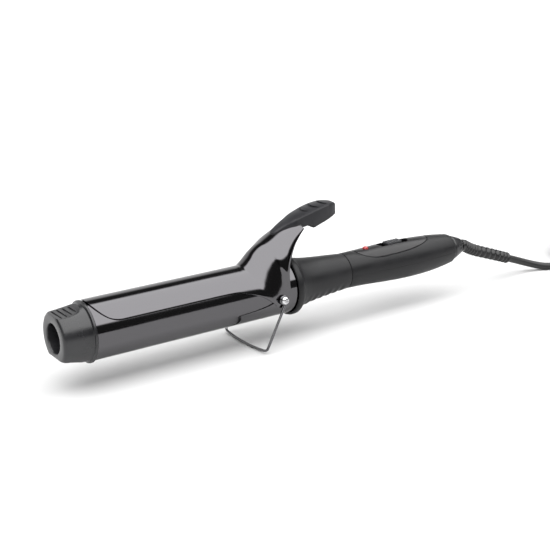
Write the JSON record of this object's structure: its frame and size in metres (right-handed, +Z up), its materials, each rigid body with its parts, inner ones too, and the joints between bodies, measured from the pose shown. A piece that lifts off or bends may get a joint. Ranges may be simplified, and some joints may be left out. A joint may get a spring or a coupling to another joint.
{
  "type": "curling iron",
  "caption": "Clip curling iron: polished barrel with cool tip, sprung clip lever with thumb rest, folding wire stand, handle with slide switch, and swivel cord with plug.",
  "frame": {"origin": "on the surface the iron stands on, below the middle of the iron without its cord and strain relief", "axes": "+X along the barrel from the cool tip to the cord, +Y across the iron to the side away from the viewer, +Z up, with the thumb rest on top"},
  "size_m": [0.5652, 0.0582, 0.0889],
  "materials": {
    "titanium_coating": "polished grey titanium coating on steel",
    "tip_plastic": "moulded satin grey",
    "handle_plastic": "soft touch dark grey",
    "panel_plastic": "satin grey",
    "black_plastic": "moulded black",
    "bright_steel": "bright plated steel",
    "spring_steel": "spring wire",
    "aluminium": "extruded",
    "ceramic": "heat resistant moulding",
    "red_lens": "translucent red",
    "circuit_board": "board",
    "cord_rubber": "satin black cord sheath",
    "brass": "plated contact"
  },
  "bodies": {
    "iron": {"cool_tip": "tip_plastic", "barrel": "titanium_coating", "barrel_bush": "ceramic", "heater_shoe_upper": "aluminium", "heater_shoe_lower": "aluminium", "heater_plate": "ceramic", "heater_lead_neutral": "black_plastic", "heater_lead_live_front": "black_plastic", "heater_lead_live_rear": "black_plastic", "thermal_fuse": "aluminium", "pivot_screw_near": "bright_steel", "pivot_screw_far": "bright_steel", "clip_spring": "spring_steel", "front_grip": "handle_plastic", "handle_upper_shell": "handle_plastic", "handle_lower_shell": "handle_plastic", "control_panel": "panel_plastic", "handle_screw_1": "bright_steel", "handle_screw_2": "bright_steel", "circuit_board": "circuit_board", "switch_case": "black_plastic", "indicator_lens": "red_lens", "indicator_lamp": "ceramic", "swivel_lead_1": "black_plastic", "swivel_lead_2": "black_plastic", "swivel_contact_block": "brass"},
    "clip": {"clip": "titanium_coating", "thumb_rest": "black_plastic", "thumb_rest_screw": "bright_steel"},
    "stand": {"wire_stand": "bright_steel"},
    "switch": {"switch_slider": "black_plastic"},
    "swivel": {"swivel_neck": "black_plastic", "strain_relief": "cord_rubber", "power_cord": "cord_rubber", "cord_hank": "cord_rubber", "cord_tail": "cord_rubber", "cord_tie": "black_plastic", "plug_body": "cord_rubber", "plug_pin_1": "brass", "plug_pin_2": "brass"}
  },
  "joints": [
    {"name": "clip_pivot", "type": "hinge", "parent": "iron", "child": "clip", "pos_m": [-0.0095, 0, 0.03371], "axis": [0, 1, 0], "range_deg": [0, 24], "stiffness_Nm_per_rad": 0.35, "springref_deg": -28.65, "deforming": ["clip_spring"]},
    {"name": "stand_pivot", "type": "hinge", "parent": "iron", "child": "stand", "pos_m": [-0.0095, 0, 0.03371], "axis": [0, -1, 0], "range_deg": [0, 90]},
    {"name": "switch_slide", "type": "slide", "parent": "iron", "child": "switch", "axis": [1, 0, 0], "range_m": [-0.0045, 0.0045]},
    {"name": "cord_swivel", "type": "hinge", "parent": "iron", "child": "swivel", "pos_m": [0.1531, 0, 0.03411], "axis": [1, 0, 0], "continuous": true}
  ]
}
